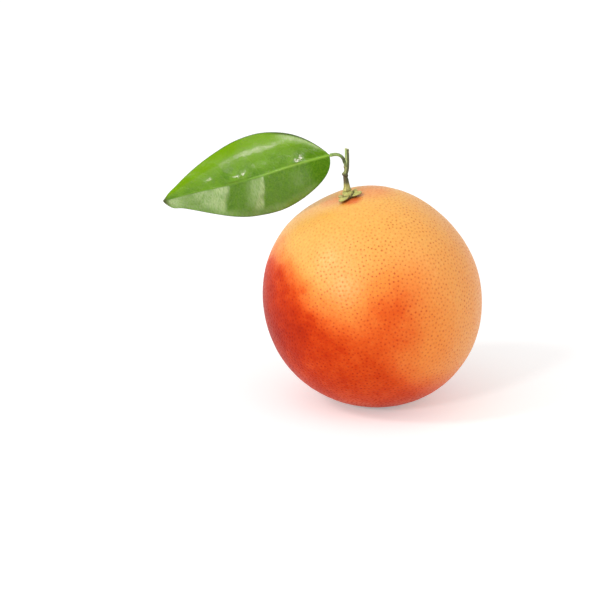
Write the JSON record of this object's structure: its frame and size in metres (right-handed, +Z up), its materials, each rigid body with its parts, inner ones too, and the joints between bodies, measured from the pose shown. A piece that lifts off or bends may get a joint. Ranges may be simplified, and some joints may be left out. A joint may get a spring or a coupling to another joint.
{
  "type": "grapefruit",
  "caption": "Whole grapefruit with pitted yellow-orange peel, resting on a small flat spot, with its calyx, a short cut twig and a glossy pointed leaf.",
  "frame": {"origin": "centre of the small flat spot that the fruit rests on", "axes": "+Z up through the fruit, -X the way the leaf reaches, -Y the front, which shows the leaf's upper face"},
  "size_m": [0.1535, 0.1046, 0.1305],
  "materials": {
    "peel": "waxy and half glossy, pitted with oil glands; yellow-orange on top, blushing red low on the front left",
    "sepal": "dull pale yellow-green with brown edges",
    "bark": "dull olive brown at the foot, light green above, with a pale cut end",
    "stalk": "half dull grey-green",
    "leaf": "glossy green on its upper face, dull and paler on its underside"
  },
  "bodies": {
    "root": {"fruit": "peel", "calyx": "sepal", "stem": "bark", "petiole": "stalk", "leaf_blade": "leaf"}
  },
  "joints": []
}
